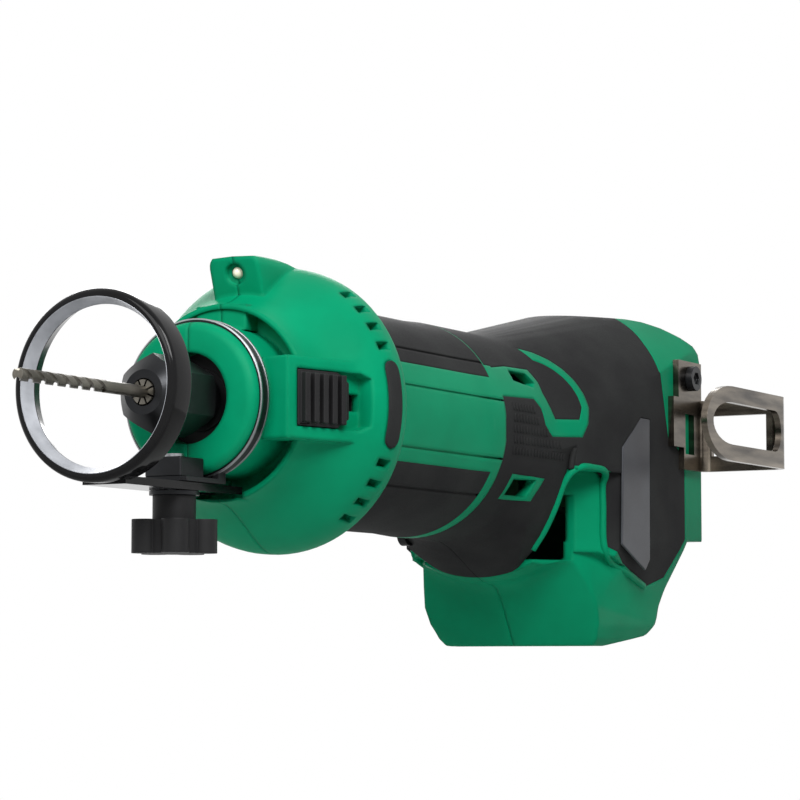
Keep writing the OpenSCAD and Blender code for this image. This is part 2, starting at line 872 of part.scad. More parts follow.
// steel band with a tongue under the nose that carries the guide
module clamp_band() {
    x1 = band_x + band_w;
    hw = arm_w / 2 + 1.5;
    color("#3b3d40") difference() {
        union() {
            turned([
                [nose_r + mate, band_x], [nose_r + band_t, band_x],
                [nose_r + band_t, x1], [nose_r + mate, x1]
            ]);
            box(stud_x - square_nut / 2 - 1, x1, -hw, hw, tongue_top - tongue_t, tongue_top);
            for (y = [-hw, hw - 2]) box(band_x, x1, y, y + 2, tongue_top - 0.5, 4 - nose_r);
        }
        rod(-30, 30, nose_r + mate);
        translate([stud_x, 0, tongue_top - 5]) cylinder(r = stud_r + clear, h = 10, $fn = fine);
    }
}

module clamp_nut() {
    color("#c9cacc") difference() {
        box(stud_x - square_nut / 2, stud_x + square_nut / 2, -square_nut / 2, square_nut / 2,
            tongue_top, tongue_top + square_nut_t);
        translate([stud_x, 0, tongue_top - 1])
            cylinder(r = stud_r + run_fit, h = square_nut_t + 2, $fn = fine);
    }
}

// ring with a conical bevel inside, on a slotted arm
module depth_guide() {
    x0 = -ring_ahead;
    x1 = x0 + ring_w;
    slot0 = stud_x - guide_in;
    slot1 = stud_x + guide_out;
    arm_end = slot1 + stud_r + 5;
    bore_r = ring_r - ring_t;
    color("#1d1d1f") difference() {
        union() {
            turned(concat(
                [[ring_r - ring_t * 0.45, x1], [bore_r, x0 + ring_w * 0.45], [ring_r - ring_t * 0.55, x0]],
                arc([ring_r - 1.6, x0 + 1.6], 1.6, -90, 0),
                arc([ring_r - 1.6, x1 - 1.6], 1.6, 0, 90)
            ));
            difference() {
                box(x0 + ring_w * 0.6, arm_end, -arm_w / 2, arm_w / 2, arm_top - arm_t, arm_top);
                rod(x0, x1, bore_r + 0.6);
            }
        }
        translate([0, 0, arm_top - arm_t - 1]) {
            box(slot0, slot1, -stud_r - clear, stud_r + clear, 0, arm_t + 2);
            for (x = [slot0, slot1]) translate([x, 0, 0])
                cylinder(r = stud_r + clear, h = arm_t + 2, $fn = fine);
        }
    }
}

module clamp_stud() {
    color(steel) translate([stud_x, 0, knob_top - knob_neck - 4])
        cylinder(r = stud_r, h = tongue_top + square_nut_t + 1 - knob_top + knob_neck + 4, $fn = fine);
}

module clamp_washer() {
    color("#b9bbbe") difference() {
        translate([stud_x, 0, washer_top - washer_t]) cylinder(r = 6.5, h = washer_t, $fn = fine);
        translate([stud_x, 0, washer_top - 5]) cylinder(r = stud_r + mate, h = 10, $fn = fine);
    }
}

lobes = 5;
module clamp_knob() {
    lobe_r = knob_r * 0.31;
    color(rubber) difference() {
        union() {
            translate([stud_x, 0, knob_top - knob_neck]) cylinder(r = 5.6, h = knob_neck, $fn = fine);
            translate([stud_x, 0, knob_top - knob_neck - knob_h]) linear_extrude(knob_h) difference() {
                union() {
                    circle(r = knob_r - lobe_r, $fn = fine);
                    for (i = [0:lobes - 1]) rotate(i * 360 / lobes)
                        translate([knob_r - lobe_r, 0]) circle(r = lobe_r, $fn = fine);
                }
                for (i = [0:lobes - 1]) rotate((i + 0.5) * 360 / lobes)
                    translate([knob_r + 0.4, 0]) circle(r = lobe_r, $fn = fine);
            }
        }
        translate([stud_x, 0, knob_top - knob_neck - 4]) cylinder(r = stud_r + mate, h = 20, $fn = fine);
    }
}

// strip bent out from the block's side and forward again, with one long window
module hook_strip() {
    ya = -hook_y - hook_t;
    yb = -hook_arm_y;
    xb = hook_x1;
    r = hook_bend;
    translate([hook_x0, ya]) square([xb - r - hook_x0, hook_t]);
    translate([xb - hook_t, yb + r - hook_t]) square([hook_t, ya - yb - 2 * r + 2 * hook_t]);
    translate([xb - hook_len, yb - hook_t]) square([hook_len - r, hook_t]);
    translate([xb - r, ya - r + hook_t]) intersection() {
        difference() {
            circle(r = r, $fn = fine);
            circle(r = r - hook_t, $fn = fine);
        }
        square(r);
    }
    translate([xb - r, yb + r - hook_t]) intersection() {
        difference() {
            circle(r = r, $fn = fine);
            circle(r = r - hook_t, $fn = fine);
        }
        translate([0, -r]) square(r);
    }
}

// outline of the arm's free end, drawn in by g: half an ellipse and a straight run
function hook_end(g, x1) = let (w = hook_w / 2 - g, x0 = hook_x1 - hook_len + hook_nose) concat(
    [for (a = span(90, 270, 16)) [x0 + (hook_nose - g) * cos(a), hook_z0 + hook_w / 2 + w * sin(a)]],
    [[x1, hook_z0 + g], [x1, hook_z0 + hook_w - g]]
);

module belt_hook() {
    z1 = hook_z0 + hook_w;
    mid_z = hook_z0 + hook_w / 2;
    window_hw = hook_w / 2 - hook_band;
    window_x = hook_x1 - hook_bend - hook_band - 1.5;
    hook_window = concat(
        [for (q = hook_end(hook_band, window_x)) if (q[0] < window_x) q],
        [for (a = span(-90, 90)) [window_x + hook_band * cos(a), mid_z + window_hw * sin(a)]]
    );
    nose_x = hook_x1 - hook_len;
    color("#a9a39a") difference() {
        union() {
            translate([0, 0, hook_z0]) linear_extrude(hook_w) hook_strip();
            box(hook_x0 + 4, hook_x0 + 22, -hook_y - hook_t, -hook_y, z1 - 1, screw_z + 5.5);
        }
        across_at(-hook_arm_y - hook_t, hook_t + 1, 1) difference() {
            translate([nose_x - 1, hook_z0 - 1]) square([hook_nose + 1, hook_w + 2]);
            polygon(hook_end(0, nose_x + hook_nose + 5));
        }
        across_at(-hook_arm_y - hook_t - 1, hook_t + 2, 0) polygon(hook_window);
        box(hook_x1 - hook_t - 1, hook_x1 + 1, hook_bend - hook_arm_y, -hook_y - hook_bend,
            hook_z0 + hook_band, z1 - hook_band);
        across_at(-hook_y - hook_t - 1, hook_t + 2, 0) {
            translate([hook_x0 + 9, hook_z0 + hook_band]) square([7, hook_w - 2 * hook_band]);
            translate([hook_x0 - 1, hook_z0 - 1]) square([9, 8]);
        }
        cross_rod(hook_screw_x, screw_z, -hook_y - hook_t - 1, 1 - hook_y, insert_r + clear);
    }
}

// an xz outline cut from y0 towards the middle plane by depth
module across_at(y0, depth, grow) {
    translate([0, y0 + depth, 0]) rotate([90, 0, 0]) linear_extrude(depth + grow) children();
}

module hook_screw() {
    y = -hook_y - hook_t;
    color("#2a2a2c") difference() {
        union() {
            cross_rod(hook_screw_x, screw_z, y, 9 - block_hw, insert_r - mate);
            cross_rod(hook_screw_x, screw_z, y - 2.4, y, 4);
        }
        translate([hook_screw_x, y - 1.2, screw_z]) rotate([90, 0, 0]) cylinder(r = 2, h = 3, $fn = 6);
    }
}

module spindle() {
    seat_r = spindle_r - 1;
    color(steel) difference() {
        turned([
            [0, nut_front + 7], [spindle_r + 1.4, nut_front + 7], [spindle_r + 1.4, 4], [spindle_r, 4],
            [spindle_r, fan_x - 1], [seat_r, fan_x - 1], [seat_r, stator_x + stator_len + 2],
            [journal_r, stator_x + stator_len + 2], [journal_r, rear_bearing_x + rear_bearing_w + 1],
            [0, rear_bearing_x + rear_bearing_w + 1]
        ]);
        rod(nut_front, 8, collet_r + mate);
        cross_rod(lock_x, 0, -20, 20, 2.5 + clear);
        translate([lock_x, 0, -20]) cylinder(r = 2.5 + clear, h = 40, $fn = fine);
    }
}

module rotor() {
    color("#55585c") difference() {
        rod(stator_x, stator_x + stator_len, rotor_r);
        rod(stator_x - 1, stator_x + stator_len + 1, spindle_r - 1 + mate);
    }
}

blades = 11;
module fan() {
    color("#3d3f42") difference() {
        union() {
            rod(fan_x, fan_x + fan_w, 9);
            rod(fan_x, fan_x + 1.6, fan_r);
            for (i = [0:blades - 1]) rotate([i * 360 / blades, 0, 0])
                translate([fan_x, 8, 0]) rotate([12, 0, 0]) box(0, fan_w, 0, fan_r - 9, -0.7, 0.7);
        }
        rod(fan_x - 1, fan_x + fan_w + 1, spindle_r - 1 + mate);
    }
}

collet_r = spindle_r - 2;
module collet() {
    tip = nut_front - 0.4;
    color("#5d6063") difference() {
        turned([
            [0, tip], [bit_r + 1.6, tip], [collet_r + 0.6, nut_front + 5],
            [collet_r, nut_front + 6.6], [collet_r, 7], [0, 7]
        ]);
        rod(tip - 1, 9, bit_r + mate);
        for (a = [0, 45, 90, 135]) rotate([a + 22.5, 0, 0]) box(tip - 1, -4, -8, 8, -0.25, 0.25);
    }
}

module collet_nut() {
    x1 = nut_front + nut_len;
    thread_r = spindle_r + 1.4 + mate;
    color("#333437") difference() {
        intersection() {
            translate([nut_front, 0, 0]) rotate([0, 90, 0])
                cylinder(r = nut_corner, h = nut_len, $fn = 6);
            turned([[0, nut_front], [nut_af / 2 - 3.2, nut_front], [nut_corner + 0.1, nut_front + 4.4],
                [nut_corner + 0.1, x1 - 1], [nut_corner - 1, x1], [0, x1]]);
        }
        turned([
            [0, nut_front - 1], [bit_r + 2, nut_front - 1], [bit_r + 2, nut_front],
            [collet_r + 0.9, nut_front + 5], [collet_r + 0.9, nut_front + 6.4],
            [thread_r, nut_front + 6.4], [thread_r, x1 + 1], [0, x1 + 1]
        ]);
    }
}

flute_turns = 3.5;
module cutting_bit() {
    tip = nut_front - bit_reach;
    color("#77797b") {
        rod(tip + flute_len, 6, bit_r);
        translate([tip, 0, 0]) rotate([0, 90, 0])
            linear_extrude(flute_len, twist = -360 * flute_turns, slices = 42) difference() {
                circle(r = bit_r, $fn = 20);
                for (s = [-1, 1]) translate([s * bit_r * 1.08, 0]) circle(r = bit_r * 0.62, $fn = 14);
            }
    }
}

ribs = 5;
module switch_slider() {
    v0 = clear - recess_t;
    z = slider_h / 2;
    color(rubber) at_cheek() {
        across_at(v0, slider_t, 0) polygon(nosed(slider_u, slider_u + slider_len, z, slider_nose));
        box(stem_u, stem_u + stem_len, switch_v - 2.2, v0 + 1, -stem_hw, stem_hw);
        for (i = [0:ribs - 1]) translate([slider_u + 0.9 + i * slider_len / 5.6, 0, 0])
            box(0, 1.8, v0 + 1, v0 + slider_t + 1.8, 0.8 - z, z - 0.8);
    }
}

module lock_button() {
    color(rubber) {
        cross_rod(lock_x, 0, button_y - 4.2, button_y + 2.8, button_r);
        cross_rod(lock_x, 0, spindle_r + 0.6, button_y, 2.5);
    }
}

placed() left_housing();
placed() right_housing();
placed() left_barrel_grip();
placed() right_barrel_grip();
placed() left_rear_grip();
placed() right_rear_grip();
placed() side_plates();
placed() rim_bumpers();
placed() housing_screws();
placed() front_bearing();
placed() rear_bearing();
placed() stator_core();
placed() stator_windings();
placed() control_module();
placed() battery_terminals();
placed() switch_body();
placed() led_lens();
placed() led_board();
placed() clamp_band();
placed() clamp_nut();
placed() belt_hook();
placed() hook_screw();
placed() spindle();
placed() rotor();
placed() fan();
placed() collet();
placed() collet_nut();
placed() cutting_bit();
placed() depth_guide();
placed() clamp_knob();
placed() clamp_stud();
placed() clamp_washer();
placed() switch_slider();
placed() lock_button();
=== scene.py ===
# %% [markdown]
# # A drywall cut out tool, finished
# The construction comes from CAD: named solids, each on the body that carries it. This lesson
# gives them the look of the real tool: moulded green casing, soft black rubber, a gloss black
# guide ring and a few pieces of bare steel. Each cell makes one thing, and most print what they made.

import json
import math

import bmesh
import bpy
from mathutils import Matrix, Vector
from mathutils.bvhtree import BVHTree


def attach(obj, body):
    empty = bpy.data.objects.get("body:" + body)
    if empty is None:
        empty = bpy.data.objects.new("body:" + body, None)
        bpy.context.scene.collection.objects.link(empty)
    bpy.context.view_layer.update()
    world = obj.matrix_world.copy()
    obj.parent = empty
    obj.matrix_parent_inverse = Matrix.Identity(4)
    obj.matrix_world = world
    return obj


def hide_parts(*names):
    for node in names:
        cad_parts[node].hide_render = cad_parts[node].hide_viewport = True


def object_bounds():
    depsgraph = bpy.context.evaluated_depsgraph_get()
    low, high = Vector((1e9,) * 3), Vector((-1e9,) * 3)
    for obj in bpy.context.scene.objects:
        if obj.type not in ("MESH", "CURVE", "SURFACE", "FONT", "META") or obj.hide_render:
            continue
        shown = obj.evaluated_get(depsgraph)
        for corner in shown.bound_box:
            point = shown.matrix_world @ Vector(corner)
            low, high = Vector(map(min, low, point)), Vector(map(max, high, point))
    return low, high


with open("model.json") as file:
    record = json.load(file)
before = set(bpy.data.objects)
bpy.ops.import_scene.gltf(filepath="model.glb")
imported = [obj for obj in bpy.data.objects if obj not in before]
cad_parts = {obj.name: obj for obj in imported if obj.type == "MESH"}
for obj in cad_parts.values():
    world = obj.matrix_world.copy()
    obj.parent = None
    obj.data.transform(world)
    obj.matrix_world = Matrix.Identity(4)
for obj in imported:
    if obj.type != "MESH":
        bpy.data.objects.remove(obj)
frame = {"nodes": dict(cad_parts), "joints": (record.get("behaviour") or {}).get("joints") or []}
cad_low, cad_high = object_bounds()
MM = 0.001
joints = {joint["name"]: joint for joint in frame["joints"]}
nose = Vector(joints["spindle_turn"]["pos_m"])
print("nose at", [round(v, 4) for v in nose], "CAD box", [round(v, 4) for v in cad_high - cad_low])

# %% [markdown]
# The tool's own frame is handy for placing things: x runs back from the nose face, y across and
# z up from the spindle axis, all in millimetres. One function turns such a place into the
# frame's metres. The casing is split down the middle, so most pieces come as a left and a right
# one, and the sign of y tells them apart.

# %% Places on the tool
SIDES = {"left": -1, "right": 1}


def at(x, y, z):
    """A place in the tool's own millimetres, as a point in the frame's metres."""
    return nose + Vector((x, y, z)) * MM


print("heel of the casing", [round(v, 4) for v in at(235, 0, -60)])

# %% [markdown]
# Studio photographs of tools are taken from far away with a long lens, so that the long body
# does not look stretched. The place and angle below were found from the ring, the barrel and
# the block, which are round or square on the real tool.

# %% Camera
# metres from the nose, degrees, and millimetres of lens and film
CAMERA_BACK = Vector((-0.6520, -0.4261, -0.0703))
CAMERA_YAW = 29.095
CAMERA_PITCH = 5.137
LENS = 134.94
SENSOR = 36

camera_data = bpy.data.cameras.new("studio_camera")
camera_data.lens = LENS
camera_data.sensor_width = SENSOR
camera = bpy.data.objects.new("studio_camera", camera_data)
camera.location = nose + CAMERA_BACK
camera.rotation_euler = (math.radians(90 + CAMERA_PITCH), 0, math.radians(CAMERA_YAW - 90))
bpy.context.scene.collection.objects.link(camera)
bpy.context.scene.camera = camera
print("camera", [round(v, 4) for v in camera.location], "lens", LENS, "mm")

# %% [markdown]
# The tool hangs over a small pale table on a white ground, lit by large soft boxes. The lights'
# size matters more than their power: a wide box gives the long, soft highlights that moulded
# plastic shows. The camera looks slightly up, so the table lies below its view.

# %% Stage and light
FLOOR_MIDDLE = (-0.1, 0, -0.065)
FLOOR_RADIUS = 0.42

floor_mesh = bpy.data.meshes.new("studio_floor")
bm = bmesh.new()
bmesh.ops.create_circle(bm, cap_ends=True, segments=96, radius=FLOOR_RADIUS)
bmesh.ops.translate(bm, verts=bm.verts, vec=FLOOR_MIDDLE)
bm.to_mesh(floor_mesh)
bm.free()
floor = bpy.data.objects.new("studio_floor", floor_mesh)
bpy.context.scene.collection.objects.link(floor)


def soft_box(name, place, size, power):
    """A square area light, with its place and size in metres, turned towards the tool's middle."""
    light = bpy.data.lights.new(name, "AREA")
    light.size = size
    light.energy = power
    lamp = bpy.data.objects.new(name, light)
    lamp.location = place
    middle = (cad_low + cad_high) / 2
    lamp.rotation_euler = (middle - Vector(place)).to_track_quat("-Z", "Y").to_euler()
    bpy.context.scene.collection.objects.link(lamp)


soft_box("key_left", (-0.5, -0.42, 0.46), 0.3, 4.6)
soft_box("rear_fill", (0.75, 0.6, 0.5), 0.5, 4)
soft_box("front_fill", (-0.85, -0.05, 0.5), 0.5, 4)

# %% [markdown]
# Every finish below is a small network of shader nodes. One function adds a node and fills its
# sockets: a plain value is set on the socket, and another node's output is linked to it. Colours
# are written as the hex codes of a paint chart and turned into the linear values that light uses.
# The ground is the first to use both: it is pure white to the camera and in reflections, but
# lights the tool only faintly, so that the soft boxes shape it.

# %% Node helper, colours and the white ground
SKY_LIGHT = 0.1


def linear(code):
    """A hex sRGB colour as linear RGBA."""
    channels = [int(code[i:i + 2], 16) / 255 for i in (1, 3, 5)]
    return [c / 12.92 if c <= 0.04045 else ((c + 0.055) / 1.055) ** 2.4 for c in channels] + [1]


def add_node(tree, kind, sockets=None, **settings):
    """Adds one shader node, with its settings and its sockets' values or links."""
    node = tree.nodes.new(kind)
    for key, value in settings.items():
        setattr(node, key, value)
    for key, value in (sockets or {}).items():
        if isinstance(value, bpy.types.NodeSocket):
            tree.links.new(value, node.inputs[key])
        else:
            node.inputs[key].default_value = value
    return node


world = bpy.data.worlds.new("studio_white")
bpy.context.scene.world = world
world.use_nodes = True
sky = world.node_tree
sky.nodes.clear()
path = add_node(sky, "ShaderNodeLightPath").outputs
seen = add_node(
    sky, "ShaderNodeMath", {0: path["Is Camera Ray"], 1: path["Is Glossy Ray"]}, operation="MAXIMUM"
)
seen = add_node(
    sky, "ShaderNodeMath", {0: seen.outputs[0], 1: path["Is Transmission Ray"]}, operation="MAXIMUM"
)
level = add_node(sky, "ShaderNodeMapRange", {"Value": seen.outputs[0], "To Min": SKY_LIGHT, "To Max": 1.0})
glow = add_node(sky, "ShaderNodeBackground", {"Color": linear("#ffffff"), "Strength": level.outputs[0]})
add_node(sky, "ShaderNodeOutputWorld", {"Surface": glow.outputs[0]})
bpy.context.scene.view_settings.view_transform = "Standard"
print("world", world.name, "with", len(sky.nodes), "nodes")

# %% [markdown]
# The tool's finishes share one recipe: a broad mottle shifts the colour a little, as pigment and
# handling do, and a fine grain gives the relief that the mould or the blasting left. Both are
# sized in millimetres. A real moulded grain is finer than this view can show, so it is drawn a few
# times coarser. Drawn or brushed metal has its grain pulled out along an axis, and a moulded piece
# has its edges softened a little more than its mesh shows, as the radius in a mould does. The
# table's paint is the first finish made.

# %% Recipe for a finish
MOTTLE_STOPS = (0.35, 0.65)
GRAIN_STRENGTH = 0.6


def finish(name, dark, light, grain, relief, rough, mottle=18, pull=(1, 1, 1), soft=0, **shader_values):
    """A material with a broad mottle between two colours and a fine grain, sized in millimetres."""
    material = bpy.data.materials.new(name)
    material.use_nodes = True
    tree = material.node_tree
    shader = tree.nodes["Principled BSDF"]
    for key, value in shader_values.items():
        shader.inputs[key.replace("_", " ")].default_value = value
    place = add_node(tree, "ShaderNodeTexCoord").outputs["Object"]
    place = add_node(tree, "ShaderNodeMapping", {"Vector": place, "Scale": pull}).outputs["Vector"]
    broad = add_node(
        tree, "ShaderNodeTexNoise", {"Vector": place, "Scale": 1 / (mottle * MM), "Detail": 4.0}
    )
    fine = add_node(
        tree, "ShaderNodeTexNoise", {"Vector": place, "Scale": 1 / (grain * MM), "Detail": 2.0}
    )
    ramp = add_node(tree, "ShaderNodeValToRGB", {"Fac": broad.outputs["Fac"]})
    for stop, position, colour in zip(ramp.color_ramp.elements, MOTTLE_STOPS, (dark, light)):
        stop.position = position
        stop.color = linear(colour)
    gloss = add_node(
        tree, "ShaderNodeMapRange", {"Value": fine.outputs["Fac"], "To Min": rough[0], "To Max": rough[1]}
    )
    bump = add_node(
        tree, "ShaderNodeBump",
        {"Height": fine.outputs["Fac"], "Distance": relief * MM, "Strength": GRAIN_STRENGTH}
    )
    if soft:
        edge = add_node(tree, "ShaderNodeBevel", {"Radius": soft * MM}, samples=6)
        tree.links.new(edge.outputs["Normal"], bump.inputs["Normal"])
    tree.links.new(ramp.outputs["Color"], shader.inputs["Base Color"])
    tree.links.new(gloss.outputs["Result"], shader.inputs["Roughness"])
    tree.links.new(bump.outputs["Normal"], shader.inputs["Normal"])
    return material


# matt paint of the table under the tool: pale grey without a shine
floor_paint = finish("studio_table_matt", "#cfcfcf", "#d4d4d4", 30, 0.001, (0.7, 0.8), mottle=400)
floor.data.materials.append(floor_paint)
print("table finish", floor_paint.name, "with", len(floor_paint.node_tree.nodes), "nodes")

# %% [markdown]
# Next come the tool's plastics and rubbers. Pigmented nylon is satin and strongly coloured, so
# little white light comes off its face and its reflection is turned down. Rubber is rougher, and
# its blasted grain is coarse enough to see.

# %% Plastics and rubbers
# glass-filled nylon from a spark-eroded mould: satin, strongly coloured, with an even fine grain
green_nylon = finish(
    "green_nylon_moulded", "#01835b", "#018c62", 0.35, 0.012, (0.4, 0.52), soft=1.6, Specular_IOR_Level=0.07
)
# thermoplastic rubber moulded over the casing, from a blasted tool: dull, with a visible grain
black_rubber = finish(
    "black_rubber_overmoulded", "#242425", "#2c2d2d", 0.5, 0.03, (0.55, 0.75), soft=1.0,
    Specular_IOR_Level=0.06
)
# hard black nylon of the slider, knob and button: darker and a little glossier than the rubber
black_nylon = finish(
    "black_nylon_moulded", "#181819", "#202021", 0.4, 0.015, (0.42, 0.58), soft=0.5, Specular_IOR_Level=0.16
)
# smooth dark insert from a polished mould: a grey sheen
plate_plastic = finish(
    "dark_plate_polished", "#3a3b3f", "#44464b", 0.6, 0.006, (0.3, 0.42), soft=0.4, Specular_IOR_Level=0.25
)
# moulded cap of the work light: milky, under a clear and shiny face
lens = finish("lens_clear_moulded", "#f0e6c4", "#fbf5e0", 1.0, 0.002, (0.05, 0.1), Coat_Weight=1.0)
# glass cloth and varnish of a circuit board: dark green with a low shine
board = finish("circuit_board_varnished", "#1d4a2c", "#2a5d39", 1.0, 0.02, (0.3, 0.5))
print("moulded finishes", [m.name for m in bpy.data.materials if "moulded" in m.name])

# %% [markdown]
# The metals differ in how they were made: stoved enamel is black glass over steel, the blackened
# parts keep the fine marks of the lathe, and the hook is pressed from bright plated strip whose
# rolling marks run along it; its light and dark streaks are partly those marks and partly painted
# reflection.

# %% Metals
# steel ring dipped and stoved in gloss black enamel: black glass with sharp white reflections
black_enamel = finish(
    "black_enamel_stoved", "#0b0b0c", "#121213", 1.5, 0.004, (0.08, 0.14), Specular_IOR_Level=0.14
)
# turned and blackened steel: dark grey with a soft shine
dark_steel = finish("blackened_steel_turned", "#1f2022", "#2d2e30", 0.3, 0.01, (0.3, 0.45), Metallic=0.8)
# ground tool steel of the bit: warm grey, dulled by use, with marks along it
bit_steel = finish(
    "tool_steel_ground", "#5a5750", "#7a766e", 0.3, 0.01, (0.28, 0.45), mottle=4, pull=(0.3, 1, 1),
    Metallic=1.0
)
# zinc plated small parts: pale and bright
plain_steel = finish("steel_zinc_plated", "#85878a", "#a3a5a8", 0.5, 0.008, (0.25, 0.4), Metallic=1.0)
# pressed spring steel with a bright nickel plating: warm light and dark streaks along its strip, partly
# rolling marks and partly painted reflection
hook_steel = finish(
    "spring_steel_streaks_painted_reflection", "#3f3a35", "#857c70", 0.6, 0.01, (0.16, 0.3), mottle=5,
    pull=(0.15, 0.15, 1), Metallic=1.0
)
# pale steel-grey strip with a dull sheen: painted highlight for the bright reflection on the guide ring's
# inner bevel
bevel_painted_highlight = finish(
    "pale_steel_painted_highlight", "#9fa2a8", "#b9bcc2", 0.5, 0.01, (0.3, 0.45), mottle=6, Metallic=0.35
)
# enamelled copper wire, wound: reddish brown with a soft shine
copper = finish("copper_enamelled", "#8a4a22", "#b0683a", 0.5, 0.05, (0.3, 0.5), Metallic=1.0)
# stack of stamped sheets, seen from their cut edges: dull grey with fine lines across the axis
laminations = finish(
    "stacked_steel_laminations", "#4c4e50", "#66696c", 0.5, 0.03, (0.4, 0.6), pull=(3, 1, 1), Metallic=0.8
)
print("steel finishes", [m.name for m in bpy.data.materials if "steel_" in m.name])

# %% [markdown]
# The CAD solids arrive as triangles with every face apart. A copy with its points merged can be
# shaded smoothly and reshaped. The CAD solid itself stays as it is and is only hidden behind its
# copy. A mesh becomes a piece of the tool when it has its finish and rides on a body.

# %% Copies of the CAD solids
MERGE = 0.002 * MM
FLAT_ANGLE = math.radians(0.6)
SMOOTH_ANGLE = math.radians(32)


def merged(node):
    """The CAD node's mesh with its points merged and its flat areas made one face each."""
    bm = bmesh.new()
    bm.from_mesh(frame["nodes"][node].data)
    bmesh.ops.remove_doubles(bm, verts=bm.verts, dist=MERGE)
    bmesh.ops.dissolve_limit(bm, angle_limit=FLAT_ANGLE, verts=bm.verts, edges=bm.edges)
    bmesh.ops.recalc_face_normals(bm, faces=bm.faces)
    return bm


def shown(bm, name, body, slot, material, *nodes):
    """Makes a piece of a mesh: smooth, on its body, with its finish, in place of CAD nodes."""
    mesh = bpy.data.meshes.new(name)
    bm.to_mesh(mesh)
    bm.free()
    if "custom_normal" in mesh.attributes:
        mesh.attributes.remove(mesh.attributes["custom_normal"])
    mesh.materials.clear()
    mesh.materials.append(material)
    mesh.shade_smooth()
    mesh.set_sharp_from_angle(angle=SMOOTH_ANGLE)
    piece = bpy.data.objects.new(name, mesh)
    bpy.context.scene.collection.objects.link(piece)
    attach(piece, body)
    if nodes:
        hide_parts(*nodes)
    return piece


bm = merged("left_housing")
print("left housing", len(frame["nodes"]["left_housing"].data.vertices), "points, merged", len(bm.verts))
bm.free()

# %% [markdown]
# A mould maker breaks every edge, and so does a lathe hand. A Bevel modifier rolls the sharp edges
# of a copy over. Where points crowd together, each edge takes only a share of the roll, so that it
# never runs over its neighbours.

# %% Rolled edges
# how much of the shortest edge near it a roll may take
ROOM = 0.4


def rolled(node, body, slot, material, width, segments=2, bm=None):
    """A copy of a CAD node whose sharp edges are rolled over by a width in millimetres."""
    bm = bm or merged(node)
    share = bm.edges.layers.float.new("bevel_weight_edge")
    for edge in bm.edges:
        if len(edge.link_faces) == 2 and edge.calc_face_angle() > SMOOTH_ANGLE:
            near = min(e.calc_length() for v in edge.verts for e in v.link_edges)
            edge[share] = min(1, ROOM * near / (width * MM))
    piece = shown(bm, node + "_finished", body, slot, material, node)
    bevel = piece.modifiers.new("rolled_edges", "BEVEL")
    bevel.width = width * MM
    bevel.segments = segments
    bevel.limit_method = "WEIGHT"
    bevel.harden_normals = True
    return piece


print("edges are rolled where faces meet at over", round(math.degrees(SMOOTH_ANGLE)), "degrees")

# %% [markdown]
# The lamp boss and the foot of the block have far rounder edges than the rest of the casing. Three
# boxes mark them. In each box the tiny edges are closed up first, because they would stop a wide
# roll, and then the edges that stand out are bevelled in the mesh itself.

# %% Wide rolls on the lamp boss and the foot
CLOSED_UP = 0.9
WIDE_ANGLE = math.radians(15)
# two corners of each box in the tool's millimetres, with y from the middle, and the roll's width
WIDE_ROLLS = (
    ((20, 4.5, 28.5), (44, 20, 45), 1.8),
    ((186, 22, -64), (232, 40, -56.5), 2.0),
    ((176, -1, -64), (198, 26, -44), 3.0),
)


def in_box(edge, low, high):
    """Whether both ends of an edge lie in a box of the tool's millimetres, on either side."""
    spots = [(v.co - nose) / MM for v in edge.verts]
    spots = [Vector((p.x, abs(p.y), p.z)) for p in spots]
    return all(low[i] < p[i] < high[i] for p in spots for i in range(3))


def roll_wide(bm):
    """Rolls over the edges that stand out in each of the boxes."""
    for low, high, width in WIDE_ROLLS:
        small = [e for e in bm.edges if e.calc_length() < CLOSED_UP * MM and in_box(e, low, high)]
        bmesh.ops.dissolve_degenerate(bm, dist=CLOSED_UP * MM, edges=small)
        standing = [e for e in bm.edges if e.is_convex and e.calc_face_angle(0) > WIDE_ANGLE]
        standing = [e for e in standing if in_box(e, low, high)]
        bmesh.ops.bevel(
            bm, geom=standing, offset=width * MM, affect="EDGES", segments=3, profile=0.5, material=-1,
            offset_type="OFFSET", clamp_overlap=True
        )
        print("rolled wide", len(standing), "edges by", width, "mm")


print("boxes with wide rolls", len(WIDE_ROLLS))

# %% [markdown]
# The casing's halves, the rubber over the neck and block, the side plates and the bars in the
# bell's rim are all moulded pieces, so each gets a rolled copy.

# %% Casing and grips
for side in SIDES:
    bm = merged(side + "_housing")
    roll_wide(bm)
    rolled(side + "_housing", "casing", "casing_plastic", green_nylon, 0.8, bm=bm)
    rolled(side + "_rear_grip", "casing", "grip_rubber", black_rubber, 0.5)
rolled("side_plates", "casing", "plate_plastic", plate_plastic, 0.35)
rolled("rim_bumpers", "casing", "grip_rubber", black_rubber, 0.5)

# %% [markdown]
# A fine groove runs along each rubber pad of the barrel, where the two shots of the mould meet.
# The pad is cut by two planes, and the strip of faces between them is pressed in with an inset.

# %% Barrel pads with their grooves
# heights of the grooves, and the radius outside which a face belongs to a pad's outer side
PAD_GROOVES = (18.4, -20)
BARREL_FACE = 30.6
GROOVE_WIDTH = 0.7
GROOVE_DEPTH = 0.45
GROOVE_WALL = 0.02


def groove_strip(bm, height):
    """The outer faces of a pad between the two cuts of the groove at a height."""
    strip = []
    for face in bm.faces:
        middle = (face.calc_center_median() - nose) / MM
        out = Vector((0, middle.y, middle.z))
        outer = out.length > BARREL_FACE and face.normal.dot(out) > 0
        if outer and abs(middle.z - height) < GROOVE_WIDTH / 2:
            strip.append(face)
    return strip


